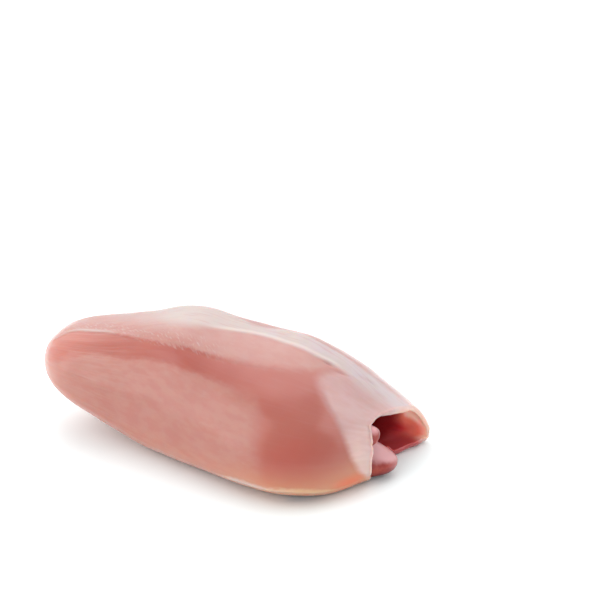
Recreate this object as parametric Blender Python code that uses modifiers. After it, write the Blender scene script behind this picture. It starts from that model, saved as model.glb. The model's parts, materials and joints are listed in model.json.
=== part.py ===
"""Raw boneless, skinless chicken thigh, folded over on itself the way it is sold.

The meat is one loaf lying along X. Its closed, tapered tail points to -X and is held a little clear of
the table by the thick middle. At the +X end the fold stays open behind a slanting rim, round the hollow
that the bone left, and two lobes of the inner muscle show at the near side of its mouth. +Z is up and
the long smooth flank is the near side, -Y. The origin is under the middle of the meat, on the table.
"""

import math
from collections import namedtuple

import bmesh
import bpy
from mathutils import Vector

MM = 0.001

# Driving dimensions, in millimetres. They are measured from a point on the table under the thick of
# the meat. MIDDLE_X and MIDDLE_Y are the middle of the finished length and width from that point, and
# the meat is moved by them so that the origin is under its middle.
MIDDLE_X = -2.81
MIDDLE_Y = -2.37
TAIL_X = -63.3
TAIL_ROUNDING = 16.0
TAIL_SQUARE = 2.5
TABLE_Z = 0.0

# The outside of the fold from tail to mouth: how far the near and far sides reach, the height where
# the meat is widest, the height of the crest and how far over it lies, the height of the underside
# (below the table where the meat is pressed flat) and how square the near and far shoulders are.
Section = namedtuple("Section", "x near far widest crest crest_y under near_square far_square")
SECTIONS = (
    Section(-64.0, -6.5, 17.0, 21.0, 30.6, 8.0, 16.8, 2.5, 2.0),
    Section(-54.0, -10.5, 22.0, 18.5, 32.2, 9.0, 11.3, 2.7, 2.0),
    Section(-42.0, -13.0, 25.5, 15.0, 33.6, 10.0, 5.0, 2.8, 2.0),
    Section(-30.0, -15.3, 27.5, 12.5, 36.2, 11.0, -0.6, 2.6, 2.0),
    Section(-22.0, -18.0, 28.1, 11.6, 38.8, 11.0, -3.0, 2.5, 2.0),
    Section(-13.0, -21.8, 28.6, 10.6, 39.6, 11.0, -3.0, 2.35, 2.0),
    Section(-4.0, -25.8, 28.8, 10.0, 37.4, 11.0, -3.0, 2.2, 2.0),
    Section(9.0, -31.4, 28.0, 10.0, 35.4, 10.0, -3.0, 2.1, 2.0),
    Section(21.0, -33.8, 27.0, 9.5, 33.8, 8.0, -3.0, 2.1, 2.0),
    Section(31.0, -32.0, 25.8, 9.0, 30.5, 6.0, -3.0, 2.2, 2.05),
    Section(38.0, -26.6, 24.7, 8.0, 26.4, 4.5, -3.0, 2.3, 2.3),
    Section(42.0, -20.0, 23.6, 7.0, 22.7, 3.5, -3.0, 2.4, 2.6),
    Section(46.0, -14.0, 22.4, 6.0, 19.3, 2.5, -3.0, 2.5, 2.7),
    Section(52.0, -12.6, 20.2, 5.0, 17.0, 1.0, -3.0, 2.6, 2.1),
    Section(58.0, -12.0, 18.2, 3.5, 12.6, 0.0, -3.0, 2.6, 1.65),
)
UNDER_SQUARE = 2.5

# The seam under the meat, where the two flaps of the fold meet.
SEAM_START_X = -28.0
SEAM_DEPTH = 2.2
SEAM_HALF_ANGLE = 0.16

# The mouth. Its rim stands back at the near side, turns a corner at RIM_TURN and slants out from there
# to the far side, where it leans back toward the top, above RIM_BACK_Z and beyond RIM_BACK_Y.
MOUTH_X = 50.0
RIM_NEAR_X = 45.4
RIM_FAR_X = 57.0
RIM_FAR_Y = 20.4
RIM_TURN_TOP_Y = -10.5
RIM_TURN_UNDER_Y = -2.0
RIM_TOP_BACK = 0.12
RIM_BACK_Z = 3.5
RIM_BACK_Y = 4.0
RIM_BACK_WIDTH = 12.0
RIM_WALL = 2.6

# The hollow behind the mouth, which narrows to a tunnel with a rounded end.
TUNNEL_END_X = 4.0
TUNNEL_ROUNDING = 12.0
TUNNEL_Y = 1.5
TUNNEL_Z = 10.5
TUNNEL_HALF_WIDTH = 9.5
TUNNEL_HALF_HEIGHT = 7.5
NARROWING_LENGTH = 15.0

# The inner muscle's lobes in the mouth: root, tip, thickness across, height and how blunt the ends are.
# The wedge is how much of its upper half a lobe loses toward its tip, from WEDGE_START of the way from
# its middle, and flat_top how flat its near upper side is.
Lobe = namedtuple("Lobe", "name root tip across height bluntness wedge flat_top")
LOBES = (
    Lobe("lower_lobe", (20.0, -14.0, 6.0), (51.6, -6.0, 5.0), 11.8, 13.6, 2.3, 0.45, 0.6),
    Lobe("upper_lobe", (26.0, -14.5, 11.5), (47.0, -10.2, 13.6), 7.2, 9.4, 2.4, 0.0, 0.0),
)
WEDGE_START = 0.4

# Fineness of the lobes, of the cage and of the surface that is smoothed over it.
LOBE_SIDES = 18
LOBE_RINGS = 12
CAGE_POINTS = 30
CAGE_TAIL_RINGS = 4
CAGE_BODY_RINGS = 15
CAGE_TUNNEL_RINGS = 8
CROWDING_UNDER = 0.35
CROWDING_MOUTH = 0.55
TUNNEL_RING_SPREAD = 1.4
TUNNEL_LAST_RING = 0.98
SMOOTHING = 1

# The finish: raw pink meat, wet.
RAW_PINK = (0.65, 0.29, 0.25, 1.0)
WET = 0.3


def clear_scene():
    """Empty the scene of whatever it starts with."""
    for obj in list(bpy.data.objects):
        bpy.data.objects.remove(obj)


def section_at(x):
    """The outside of the fold at x, on smooth curves through the rows of SECTIONS."""
    last = len(SECTIONS) - 1
    i = 0
    while i < last - 1 and x > SECTIONS[i + 1].x:
        i += 1
    before, start = SECTIONS[max(i - 1, 0)], SECTIONS[i]
    end, after = SECTIONS[i + 1], SECTIONS[min(i + 2, last)]
    span = end.x - start.x
    t = min(max((x - start.x) / span, 0.0), 1.0)
    values = []
    for a, b, c, d in zip(before, start, end, after):
        slope_b = (c - a) / (end.x - before.x) * span
        slope_c = (d - b) / (after.x - start.x) * span
        values.append(
            (2 * t**3 - 3 * t**2 + 1) * b
            + (t**3 - 2 * t**2 + t) * slope_b
            + (3 * t**2 - 2 * t**3) * c
            + (t**3 - t**2) * slope_c
        )
    return Section(*values)


def rounded(value, square):
    """A sine or cosine bent so that the section fills its corners, as a superellipse does."""
    return math.copysign(abs(value) ** (2.0 / square), value)


def closing(distance, length, square=2.0):
    """How far a section has opened, from 0 to 1, at this distance from a rounded end."""
    t = min(max(distance / length, 0.0), 1.0)
    return (1.0 - (1.0 - t) ** square) ** (1.0 / square)


def placed(point):
    """A point in metres, measured from the origin under the meat's middle."""
    return (point - Vector((MIDDLE_X, MIDDLE_Y, TABLE_Z))) * MM


def ease(t):
    """0 to 1 with level ends."""
    t = min(max(t, 0.0), 1.0)
    return t * t * (3.0 - 2.0 * t)


def blend(a, b, t):
    """A value part of the way from a to b."""
    return a + (b - a) * t


def outer_point(x, angle):
    """A point of the outside of the fold. Angle 0 is the far side, and a quarter turn the crest."""
    section = section_at(x)
    across, up = math.cos(angle), math.sin(angle)
    if up < 0:
        square = UNDER_SQUARE
    else:
        square = section.far_square if across > 0 else section.near_square
    side = section.far - section.crest_y if across > 0 else section.crest_y - section.near
    rise = section.crest - section.widest if up > 0 else section.widest - section.under
    opened = closing(x - TAIL_X, TAIL_ROUNDING, TAIL_SQUARE)
    y = section.crest_y + side * rounded(across, square) * opened
    z = section.widest + rise * rounded(up, square) * opened
    return Vector((x, y, max(z, TABLE_Z) + seam_rise(x, angle)))


def seam_rise(x, angle):
    """How far the seam lifts the underside here."""
    from_middle = abs(angle + 0.5 * math.pi) if angle < math.pi / 2 else abs(angle - 1.5 * math.pi)
    along = ease((x - SEAM_START_X) / (TUNNEL_END_X - SEAM_START_X))
    return SEAM_DEPTH * along * (1.0 - ease(from_middle / SEAM_HALF_ANGLE))


def rim_x(angle):
    """How far along X the rim of the mouth reaches at this angle round the section."""
    below = 0.5 - 0.5 * math.sin(angle)
    turn_y = blend(RIM_TURN_TOP_Y, RIM_TURN_UNDER_Y, below)
    point = outer_point(MOUTH_X, angle)
    slant = (RIM_FAR_X - RIM_NEAR_X) / (RIM_FAR_Y - turn_y)
    lean = RIM_TOP_BACK * ease((point.y - RIM_BACK_Y) / RIM_BACK_WIDTH)
    return RIM_NEAR_X + max(point.y - turn_y, 0.0) * slant - lean * max(point.z - RIM_BACK_Z, 0.0)


def hollow_point(depth, angle):
    """A point of the hollow's wall, from depth 0 at the rim to 1 at the tunnel's closed end."""
    rim = rim_x(angle)
    x = blend(rim, TUNNEL_END_X, depth)
    section = section_at(x)
    outside = outer_point(x, angle)
    middle = Vector((x, section.crest_y, section.widest))
    inside = outside.lerp(middle, RIM_WALL / (middle - outside).length)
    inside.z = max(inside.z, RIM_WALL)
    opened = closing(x - TUNNEL_END_X, TUNNEL_ROUNDING)
    y = TUNNEL_Y + TUNNEL_HALF_WIDTH * math.cos(angle) * opened
    z = TUNNEL_Z + TUNNEL_HALF_HEIGHT * math.sin(angle) * opened
    return inside.lerp(Vector((x, y, z)), ease((rim - x) / NARROWING_LENGTH))


def ring_angles():
    """The angles of a ring's points, closer together under the meat, where it is pressed flat."""
    turns = (2.0 * math.pi * k / CAGE_POINTS for k in range(CAGE_POINTS))
    return [turn - CROWDING_UNDER * math.cos(turn) for turn in turns]


def cage_rings():
    """The rings of the cage: round the tail, along the outside to the rim, and back into the hollow."""
    angles = ring_angles()
    rings = []
    for ring in range(1, CAGE_TAIL_RINGS + 1):
        opening = 0.5 * math.pi * ring / (CAGE_TAIL_RINGS + 1)
        x = TAIL_X + TAIL_ROUNDING * (1.0 - math.cos(opening))
        rings.append([outer_point(x, angle) for angle in angles])
    for ring in range(CAGE_BODY_RINGS + 1):
        share = ring / CAGE_BODY_RINGS
        share += CROWDING_MOUTH * math.sin(math.pi * share) / math.pi
        rings.append([outer_point(blend(TAIL_X + TAIL_ROUNDING, rim_x(a), share), a) for a in angles])
    for ring in range(CAGE_TUNNEL_RINGS):
        depth = TUNNEL_LAST_RING * (ring / (CAGE_TUNNEL_RINGS - 1)) ** TUNNEL_RING_SPREAD
        rings.append([hollow_point(depth, angle) for angle in angles])
    return rings


def close_end(bm, ring):
    """Close a ring's end with a fan of faces round its middle."""
    middle = bm.verts.new(sum((vert.co for vert in ring), Vector()) / len(ring))
    for vert, following in zip(ring, ring[1:] + ring[:1]):
        bm.faces.new((middle, vert, following))


def fold_mesh():
    """The cage of the folded meat: a loft of rings with both ends closed."""
    bm = bmesh.new()
    rings = [[bm.verts.new(placed(point)) for point in ring] for ring in cage_rings()]
    for ring, following in zip(rings, rings[1:]):
        for k in range(CAGE_POINTS):
            n = (k + 1) % CAGE_POINTS
            bm.faces.new((ring[k], following[k], following[n], ring[n]))
    close_end(bm, rings[0])
    close_end(bm, rings[-1])
    bmesh.ops.recalc_face_normals(bm, faces=bm.faces)
    mesh = bpy.data.meshes.new("thigh_meat")
    bm.to_mesh(mesh)
    bm.free()
    mesh.shade_smooth()
    return mesh


def lobe_mesh(lobe):
    """One lobe of the inner muscle: a long blunt ball from its root to its tip."""
    root, tip = Vector(lobe.root), Vector(lobe.tip)
    bm = bmesh.new()
    bmesh.ops.create_uvsphere(bm, u_segments=LOBE_SIDES, v_segments=LOBE_RINGS, radius=1.0)
    for vert in bm.verts:
        toward = Vector((vert.co.x, vert.co.y)).normalized()
        swell = 0.5 * (1.0 - min(abs(vert.co.z), 1.0) ** lobe.bluntness) ** (1.0 / lobe.bluntness)
        point = root.lerp(tip, 0.5 + 0.5 * vert.co.z)
        if toward.y > 0.0:
            if toward.x < 0.0:
                swell *= blend(1.0, 1.0 / (toward.y - toward.x), lobe.flat_top)
            toward.y *= 1.0 - lobe.wedge * ease((vert.co.z - WEDGE_START) / (1.0 - WEDGE_START))
        point.y += toward.x * lobe.across * swell
        point.z = max(point.z + toward.y * lobe.height * swell, TABLE_Z)
        vert.co = placed(point)
    bmesh.ops.recalc_face_normals(bm, faces=bm.faces)
    mesh = bpy.data.meshes.new(lobe.name)
    bm.to_mesh(mesh)
    bm.free()
    mesh.shade_smooth()
    return mesh


def apply_modifiers(obj):
    """Give the object the mesh that its modifiers make, and take them off."""
    graph = bpy.context.evaluated_depsgraph_get()
    mesh = bpy.data.meshes.new_from_object(obj.evaluated_get(graph))
    mesh.name = obj.name
    obj.modifiers.clear()
    obj.data = mesh


def raw_meat():
    """Wet pink raw muscle."""
    material = bpy.data.materials.new("raw_meat")
    material.use_nodes = True
    shader = material.node_tree.nodes["Principled BSDF"]
    shader.inputs["Base Color"].default_value = RAW_PINK
    shader.inputs["Roughness"].default_value = WET
    shader.inputs["Metallic"].default_value = 0.0
    return material


def main():
    """Build the meat, join its lobes to it and apply both modifiers."""
    clear_scene()
    parts = bpy.data.collections.new("chicken_thigh")
    joined = bpy.data.collections.new("joined_lobes")
    for collection in (parts, joined):
        bpy.context.scene.collection.children.link(collection)
    thigh = bpy.data.objects.new("thigh_meat", fold_mesh())
    thigh.data.materials.append(raw_meat())
    parts.objects.link(thigh)
    for lobe in LOBES:
        joined.objects.link(bpy.data.objects.new(lobe.name, lobe_mesh(lobe)))
    smoothing = thigh.modifiers.new("smoothing", "SUBSURF")
    smoothing.levels = smoothing.render_levels = SMOOTHING
    union = thigh.modifiers.new("join_lobes", "BOOLEAN")
    union.operation = "UNION"
    union.operand_type = "COLLECTION"
    union.collection = joined
    apply_modifiers(thigh)
    for lobe in list(joined.objects):
        bpy.data.objects.remove(lobe)
    bpy.data.collections.remove(joined)


if __name__ == "__main__":
    main()
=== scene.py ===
"""Raw boneless chicken thigh: its looks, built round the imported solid.

The meat is one loaf, folded over on itself: a closed tail at -X, a long flank at -Y, and at +X an open
mouth with a slanting rim, the hollow that the bone left and two lobes of the inner muscle. Sizes are in
millimetres, measured from a point on the table under the thick of the meat, and are turned into metres
from the origin as each point is placed.
"""

from __future__ import annotations

import json
import logging
import math
from dataclasses import dataclass
from enum import Enum

import bmesh
import bpy
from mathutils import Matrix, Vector, noise

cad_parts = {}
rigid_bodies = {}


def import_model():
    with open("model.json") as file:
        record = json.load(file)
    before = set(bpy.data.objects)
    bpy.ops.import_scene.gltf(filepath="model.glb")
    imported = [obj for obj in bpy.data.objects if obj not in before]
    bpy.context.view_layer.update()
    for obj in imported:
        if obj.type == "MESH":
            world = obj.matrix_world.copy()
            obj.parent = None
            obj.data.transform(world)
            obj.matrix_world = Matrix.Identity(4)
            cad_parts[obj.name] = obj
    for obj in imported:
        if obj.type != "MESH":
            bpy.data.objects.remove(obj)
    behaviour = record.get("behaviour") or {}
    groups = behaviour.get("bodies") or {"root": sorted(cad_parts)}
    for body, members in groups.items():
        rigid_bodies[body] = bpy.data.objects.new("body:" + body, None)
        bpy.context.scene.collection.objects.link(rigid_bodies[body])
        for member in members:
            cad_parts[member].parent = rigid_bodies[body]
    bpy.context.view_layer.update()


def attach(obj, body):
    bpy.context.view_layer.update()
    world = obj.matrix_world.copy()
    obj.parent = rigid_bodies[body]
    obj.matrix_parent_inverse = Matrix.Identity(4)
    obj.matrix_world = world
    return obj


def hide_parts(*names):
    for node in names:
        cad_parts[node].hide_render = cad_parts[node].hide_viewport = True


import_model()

LOG = logging.getLogger("chicken_thigh")
MM = 0.001
MIDDLE = Vector((-2.81, -2.37, 0.0))
NODE = "thigh_meat"
BODY = "root"
ONE_POINT = 2e-6  # vertices closer than this, in metres, are one

Colour = tuple[float, float, float]


def placed(point: Vector) -> Vector:
    """A point in metres from the origin, which is on the table under the meat's middle."""
    return (point - MIDDLE) * MM


def clamp(t: float) -> float:
    """A value kept from 0 to 1."""
    return min(max(t, 0.0), 1.0)


def blend(a: float, b: float, t: float) -> float:
    """A value part of the way from a to b."""
    return a + (b - a) * t


def ease(t: float) -> float:
    """0 to 1 with level ends."""
    t = clamp(t)
    return t * t * (3.0 - 2.0 * t)


def step_up(value: float, start: float, width: float) -> float:
    """A soft step from 0 to 1, width wide and starting at start."""
    return ease((value - start) / width)


def bell(value: float, width: float) -> float:
    """A soft hump, 1 in its middle and 0 from width on either side."""
    return 1.0 - ease(abs(value) / width)


def smooth_through(stops: tuple[tuple[float, ...], ...], x: float) -> list[float]:
    """Smooth curves through rows of values.

    Args:
        stops: rows whose first value is the x that they stand at, in rising order.
        x: where to read the curves. Beyond the ends they keep the end row's values.

    Returns:
        The row of values at x, the first of which is x.
    """
    last = len(stops) - 1
    i = 0
    while i < last - 1 and x > stops[i + 1][0]:
        i += 1
    before, start = stops[max(i - 1, 0)], stops[i]
    end, after = stops[i + 1], stops[min(i + 2, last)]
    span = end[0] - start[0]
    t = clamp((x - start[0]) / span)
    values = []
    for a, b, c, d in zip(before, start, end, after):
        slope_b = (c - a) / (end[0] - before[0]) * span
        slope_c = (d - b) / (after[0] - start[0]) * span
        values.append(
            (2 * t**3 - 3 * t**2 + 1) * b
            + (t**3 - 2 * t**2 + t) * slope_b
            + (3 * t**2 - 2 * t**3) * c
            + (t**3 - t**2) * slope_c
        )
    return values


def rounded(value: float, square: float) -> float:
    """A sine or cosine bent so that the section fills its corners, as a superellipse does."""
    return math.copysign(abs(value) ** (2.0 / square), value)


def closing(distance: float, length: float, square: float = 2.0) -> float:
    """How far a section has opened, from 0 to 1, at this distance from a rounded end."""
    return (1.0 - (1.0 - clamp(distance / length)) ** square) ** (1.0 / square)


class Mark(Enum):
    """What the meat's surface knows about itself, for its finish. Distances are in millimetres."""

    BAND = "band"  # below the ridge line of the upper membrane
    SHEET = "sheet"  # inside the flank's membrane
    CUFF = "cuff"  # inside the membrane round the mouth
    FAT = "fat"  # inside the near edge of the fat strip along the crest
    BACK = "back"  # inside the far edge of the fat strip
    HEM = "hem"  # from the cream edge at the foot of the flank
    SLIT = "slit"  # how far open a slit beside the fat strip is, from 0 to 1
    DEPTH = "depth"  # into the hollow from its rim
    UNDER = "under"  # how far round to the hollow's floor, from 0 to 1
    SEAM = "seam"  # from the muscle seam on the far side


class Stretch(Enum):
    """The stretches of the loft, from the tail to the closed end of the hollow."""

    TAIL = 34
    FLANK = 186
    LIP = 16
    TUNNEL = 50


@dataclass(frozen=True)
class Trace:
    """A line on the outside of the fold: the angle round the section, in degrees, at each x."""

    stops: tuple[tuple[float, float], ...]

    def angle(self, x: float) -> float:
        """The line's angle at x, in radians."""
        x = min(max(x, self.stops[0][0]), self.stops[-1][0])
        return math.radians(smooth_through(self.stops, x)[1])


@dataclass(frozen=True)
class Slit:
    """A short slit beside the fat strip: its two ends, as x and angle in degrees, and its size."""

    start: tuple[float, float]
    end: tuple[float, float]
    half_width: float
    depth: float

    def opening(self, x: float, angle: float, radius: float) -> float:
        """How deep the slit is here, in millimetres.

        Args:
            x: how far along the meat, in millimetres.
            angle: how far round, in radians.
            radius: how many millimetres a radian is here.

        Returns:
            The depth.
        """
        share = (x - self.start[0]) / (self.end[0] - self.start[0])
        line = math.radians(blend(self.start[1], self.end[1], clamp(share)))
        return self.depth * bell(share - 0.5, 0.7) * bell((angle - line) * radius, self.half_width)


@dataclass(frozen=True)
class Section:
    """The outside of the fold at one x: reach, height and how square the shoulders are."""

    x: float
    near: float
    far: float
    widest: float
    crest: float
    crest_y: float
    under: float
    near_square: float
    far_square: float


@dataclass
class MeatFold:
    """The folded meat: outside, rim and hollow in one skin."""

    sections: tuple[tuple[float, ...], ...] = (
        (-64.0, -6.5, 17.0, 21.0, 30.6, 8.0, 16.8, 2.5, 2.0),
        (-54.0, -10.5, 22.0, 18.5, 32.2, 9.0, 11.3, 2.7, 2.0),
        (-42.0, -13.0, 25.5, 15.0, 33.6, 10.0, 5.0, 2.8, 2.0),
        (-30.0, -15.3, 27.5, 12.5, 36.2, 11.0, -0.6, 2.6, 2.0),
        (-22.0, -18.0, 28.1, 11.6, 38.8, 11.0, -3.0, 2.5, 2.0),
        (-13.0, -21.8, 28.6, 10.6, 39.6, 11.0, -3.0, 2.35, 2.0),
        (-4.0, -25.8, 28.8, 10.0, 37.4, 11.0, -3.0, 2.2, 2.0),
        (9.0, -31.4, 28.0, 10.0, 35.4, 10.0, -3.0, 2.1, 2.0),
        (21.0, -33.8, 27.0, 9.5, 33.8, 8.0, -3.0, 2.1, 2.0),
        (31.0, -32.0, 25.8, 9.0, 30.5, 6.0, -3.0, 2.2, 2.05),
        (38.0, -26.6, 24.7, 8.0, 26.4, 4.5, -3.0, 2.3, 2.3),
        (42.0, -20.0, 23.6, 7.0, 22.7, 3.5, -3.0, 2.4, 2.6),
        (46.0, -14.0, 22.4, 6.0, 19.3, 2.5, -3.0, 2.5, 2.7),
        (52.0, -12.6, 20.2, 5.0, 17.0, 1.0, -3.0, 2.6, 2.1),
        (58.0, -12.0, 18.2, 3.5, 12.6, 0.0, -3.0, 2.6, 1.65),
    )
    section_step: float = 0.5
    section_easing: int = 50
    under_square: float = 2.5
    tail_x: float = -63.3
    tail_rounding: float = 16.0
    tail_square: float = 2.5
    seam_start_x: float = -28.0
    seam_depth: float = 2.2
    seam_half_angle: float = 0.16
    mouth_x: float = 50.0
    rim_near_x: float = 45.4
    rim_far_x: float = 57.3
    rim_far_y: float = 20.4
    rim_turn_top_y: float = -10.5
    rim_turn_under_y: float = -2.0
    rim_top_back: float = 0.12
    rim_back_z: float = 3.5
    rim_back_y: float = 4.0
    rim_back_width: float = 12.0
    rim_notch_angle: float = 122.0
    rim_notch: float = 1.15
    rim_notch_width: float = 30.0
    rim_swell_angle: float = 169.0
    rim_swell: float = 0.75
    rim_swell_width: float = 26.0
    rim_tear: float = 0.5
    rim_fine_tear: float = 0.15
    rim_wall: float = 2.3
    rim_near_wall: float = 1.1
    lip_bulge: float = 0.7
    foot_lift: float = 1.1
    foot_x: float = 33.0
    foot_length: float = 13.0
    foot_y: float = -9.0
    foot_width: float = 8.0
    foot_height: float = 8.0
    tunnel_end_x: float = 4.0
    tunnel_rounding: float = 12.0
    tunnel_y: float = 1.5
    tunnel_z: float = 10.5
    tunnel_half_width: float = 9.5
    tunnel_half_height: float = 7.5
    narrowing_length: float = 15.0
    points_round: int = 300
    crowding: float = 0.42
    crowded_angle: float = math.radians(130.0)
    uv_length: float = 130.0
    relief_mean: float = 0.3
    mean_radius: float = 20.0
    lump_height: float = 0.55
    small_lump_height: float = 0.22
    strand_height: float = 0.03
    tail_strand_height: float = 0.13
    ridge_height: float = 0.2
    upper_height: float = 0.14
    fat_height: float = 0.16
    fat_edge_height: float = 0.1
    cuff_height: float = 0.2
    sheet_height: float = 0.12
    hem_height: float = 0.35
    groove_depth: float = 0.8

    ridge: Trace = Trace(
        ((-60.0, 128.0), (-56.6, 119.0), (-53.0, 109.5), (-49.0, 108.0), (-41.0, 110.0), (-35.0, 115.0))
        + ((-27.0, 122.0), (-18.0, 126.0), (-8.0, 124.0), (6.0, 120.5), (15.0, 117.5), (24.0, 112.0))
        + ((34.0, 101.0),)
    )
    sheet_top: Trace = Trace(
        ((-58.0, 160.0), (-52.0, 154.0), (-46.0, 144.0), (-41.5, 136.5), (-31.0, 140.0), (-25.0, 138.5))
        + ((-11.0, 138.0), (-3.0, 135.5), (7.0, 135.5), (14.0, 139.0), (17.0, 147.0))
    )
    fat_edge: Trace = Trace(
        ((-40.0, 92.0), (-30.0, 97.0), (-19.5, 106.0), (-12.5, 107.0), (-7.0, 104.0), (-1.0, 101.0))
        + ((5.0, 98.7), (11.0, 98.2), (18.0, 99.0), (24.0, 99.0), (30.0, 98.0), (39.5, 97.5), (47.0, 94.0))
    )
    fat_back: Trace = Trace(
        ((-40.0, 80.0), (-12.0, 80.0), (-3.0, 84.0), (3.0, 90.0), (8.0, 89.5), (15.0, 86.0), (28.0, 85.0))
        + ((33.0, 83.5), (37.0, 81.5), (41.5, 77.5), (46.0, 75.0), (52.0, 70.0))
    )
    hem: Trace = Trace(
        ((3.0, 199.0), (10.0, 196.0), (20.0, 194.5), (26.0, 193.0), (31.0, 194.0), (34.0, 197.5))
        + ((36.0, 200.5), (38.0, 203.0))
    )
    far_seam: Trace = Trace(((-50.0, 30.0), (-30.0, 38.0), (-5.0, 31.0), (20.0, 20.0), (44.0, 12.0)))
    cuff_edge: tuple[tuple[float, float], ...] = (
        (-90.0, 46.0),
        (-30.0, 51.0),
        (0.0, 52.0),
        (35.0, 47.5),
        (60.0, 42.5),
        (95.0, 37.0),
        (104.0, 31.5),
        (111.0, 29.2),
        (118.0, 30.0),
        (127.0, 33.2),
        (135.0, 36.2),
        (150.0, 39.2),
        (168.0, 41.3),
        (180.0, 42.9),
        (195.0, 44.4),
        (270.0, 46.0),
    )
    slits: tuple[Slit, ...] = (
        Slit((27.5, 99.4), (31.4, 98.4), 0.6, 0.6),
        Slit((31.7, 101.2), (35.6, 98.2), 0.7, 0.4),
        Slit((37.0, 93.4), (43.0, 85.0), 0.8, 0.2),
    )
    sheet_end_x: float = 14.3
    sheet_end_slope: float = 5.5

    def __post_init__(self) -> None:
        """Work out the sections at close steps along the meat, eased so that no slope jumps."""
        first, last = self.sections[0][0], self.sections[-1][0]
        steps = round((last - first) / self.section_step)
        rows = [smooth_through(self.sections, first + k * self.section_step) for k in range(steps + 1)]
        for _ in range(self.section_easing):
            middle = [
                [0.25 * a + 0.5 * b + 0.25 * c for a, b, c in zip(before, row, after)]
                for before, row, after in zip(rows, rows[1:], rows[2:])
            ]
            rows = [rows[0], *middle, rows[-1]]
        self.eased = rows

    def section_at(self, x: float) -> Section:
        """The section at x, between the two nearest of the eased sections.

        Args:
            x: how far along the meat, in millimetres.

        Returns:
            The section.
        """
        place = (x - self.sections[0][0]) / self.section_step
        k = min(max(int(place), 0), len(self.eased) - 2)
        t = clamp(place - k)
        return Section(*(blend(a, b, t) for a, b in zip(self.eased[k], self.eased[k + 1])))

    def plain_point(self, x: float, angle: float) -> Vector:
        """A point of the outside without its relief.

        Args:
            x: how far along the meat, in millimetres.
            angle: how far round, where 0 is the far side and a quarter turn the crest.

        Returns:
            The point, in millimetres.
        """
        section = self.section_at(x)
        across, up = math.cos(angle), math.sin(angle)
        if up < 0:
            square = self.under_square
        else:
            square = section.far_square if across > 0 else section.near_square
        side = section.far - section.crest_y if across > 0 else section.crest_y - section.near
        rise = section.crest - section.widest if up > 0 else section.widest - section.under
        opened = closing(x - self.tail_x, self.tail_rounding, self.tail_square)
        y = section.crest_y + side * rounded(across, square) * opened
        z = section.widest + rise * rounded(up, square) * opened
        return Vector((x, y, max(z, 0.0) + self.seam_rise(x, angle)))

    def seam_rise(self, x: float, angle: float) -> float:
        """How far the seam under the meat, where its flaps meet, lifts the underside here.

        Args:
            x: how far along the meat, in millimetres.
            angle: how far round, in radians.

        Returns:
            The rise, in millimetres.
        """
        from_middle = abs(angle + 0.5 * math.pi) if angle < math.pi / 2 else abs(angle - 1.5 * math.pi)
        along = ease((x - self.seam_start_x) / (self.tunnel_end_x - self.seam_start_x))
        return self.seam_depth * along * (1.0 - ease(from_middle / self.seam_half_angle))

    def marks_at(self, x: float, angle: float) -> dict[Mark, float]:
        """What the finish needs to know at a point of the outside.

        Args:
            x: how far along the meat, in millimetres.
            angle: how far round, in radians.

        Returns:
            The value of each mark.
        """
        section = self.section_at(x)
        radius = 0.5 * (0.5 * (section.far - section.near) + section.crest - section.widest)
        end_x = self.sheet_end_x + self.sheet_end_slope * math.sin(angle - math.pi * 0.75)
        sheet = (angle - self.sheet_top.angle(x)) * radius
        cuff_x = smooth_through(self.cuff_edge, math.degrees(angle))[1]
        hem = step_up(x, 1.0, 10.0) * (1.0 - step_up(x, 33.0, 8.0))
        return {
            Mark.BAND: (angle - self.ridge.angle(x)) * radius,
            Mark.SHEET: min(sheet, end_x - x),
            Mark.CUFF: x - cuff_x,
            Mark.FAT: (self.fat_edge.angle(x) - angle) * radius,
            Mark.BACK: (angle - self.fat_back.angle(x)) * radius,
            Mark.HEM: abs(angle - self.hem.angle(x)) * radius + 2.5 * (1.0 - hem),
            Mark.SLIT: max(slit.opening(x, angle, radius) for slit in self.slits),
            Mark.DEPTH: -1.0,
            Mark.UNDER: step_up(-math.sin(angle), 0.35, 0.5),
            Mark.SEAM: (angle - self.far_seam.angle(x)) * radius,
        }

    def relief(self, x: float, angle: float, point: Vector, marks: dict[Mark, float]) -> float:
        """How far the surface stands out here: lumps, strands, and the edges of membranes and fat.

        Args:
            x: how far along the meat, in millimetres.
            angle: how far round, in radians.
            point: the point of the plain outside, in millimetres.
            marks: its marks.

        Returns:
            The height, in millimetres.
        """
        lumps = self.lump_height * noise.noise(point / 21.0)
        lumps += self.small_lump_height * noise.noise(point / 8.0 + Vector((7.0, 0.0, 3.0)))
        arc = angle * self.mean_radius
        strands = noise.noise(Vector((x / 30.0, arc / 2.3, 0.0)))
        strands += 0.5 * noise.noise(Vector((x / 22.0, arc / 1.1, 5.0)))
        tail = 1.0 - step_up(x, -45.0, 40.0)
        out = lumps + strands * blend(self.strand_height, self.tail_strand_height, tail)

        band = marks[Mark.BAND]
        ridge = self.ridge_height * (1.0 - step_up(band, -0.6, 0.9))
        out += ridge * step_up(x, -62.0, 6.0) * (1.0 - step_up(x, -44.0, 26.0))
        upper = self.upper_height * (1.0 - step_up(band, -0.6, 1.2))
        out += upper * (1.0 - step_up(x, 10.0, 20.0))
        sheet = self.sheet_height * step_up(marks[Mark.SHEET], -0.8, 1.6)
        out += sheet * (1.0 - step_up(x, -10.0, 18.0))
        out += self.cuff_height * step_up(marks[Mark.CUFF], -0.6, 2.4)

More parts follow.
